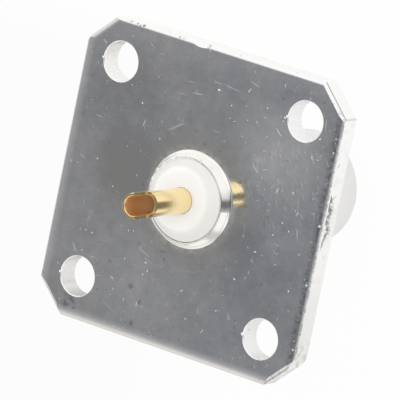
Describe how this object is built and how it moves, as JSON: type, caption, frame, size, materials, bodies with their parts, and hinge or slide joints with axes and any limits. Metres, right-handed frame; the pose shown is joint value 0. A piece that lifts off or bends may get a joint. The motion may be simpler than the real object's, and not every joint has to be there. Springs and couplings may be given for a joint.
{
  "type": "bnc connector",
  "caption": "Coaxial bayonet jack for a panel: square flange with a hole in each corner, lugged barrel, white insulators and a gold solder cup.",
  "frame": {"origin": "on the connector's axis at the rear face of the flange, which is the centre of the hole pattern", "axes": "+Z along the axis towards the solder cup, X and Y along the rows of holes; the mating end points down"},
  "size_m": [0.0254, 0.0254, 0.0265],
  "materials": {
    "plated_metal": "bright plated die casting, finely scratched",
    "ptfe": "turned white PTFE",
    "gold_plate": "bright gold plate"
  },
  "bodies": {
    "root": {"body": "plated_metal", "front_insulator": "ptfe", "rear_insulator": "ptfe", "centre_contact": "gold_plate"}
  },
  "joints": []
}
